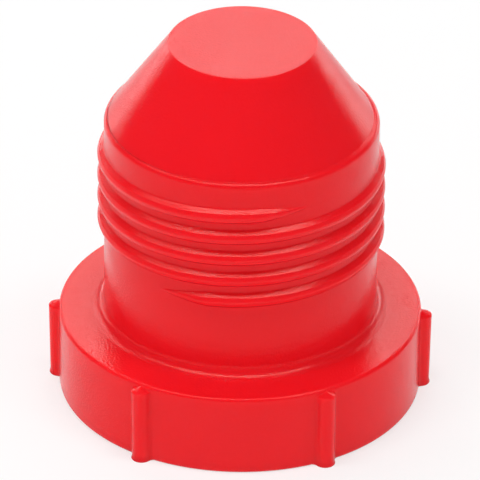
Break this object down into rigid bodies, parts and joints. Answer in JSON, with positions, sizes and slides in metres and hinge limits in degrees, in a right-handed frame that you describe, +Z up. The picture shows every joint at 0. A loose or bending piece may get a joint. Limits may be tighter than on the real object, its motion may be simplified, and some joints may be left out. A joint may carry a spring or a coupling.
{
  "type": "threaded fitting plug",
  "caption": "Moulded plastic plug for a flared tube fitting: cone nose, right-hand external thread and a ribbed round head, hollow from below.",
  "frame": {"origin": "centre of the head's bottom rim, on the plug's axis", "axes": "+Z up the axis from the head to the cone nose, +X through one of the grip ribs"},
  "size_m": [0.0256, 0.0242, 0.0257],
  "materials": {
    "red_polyethylene": "semi-gloss moulded polyethylene, the same red right through"
  },
  "bodies": {
    "root": {"threaded_plug": "red_polyethylene"}
  },
  "joints": []
}
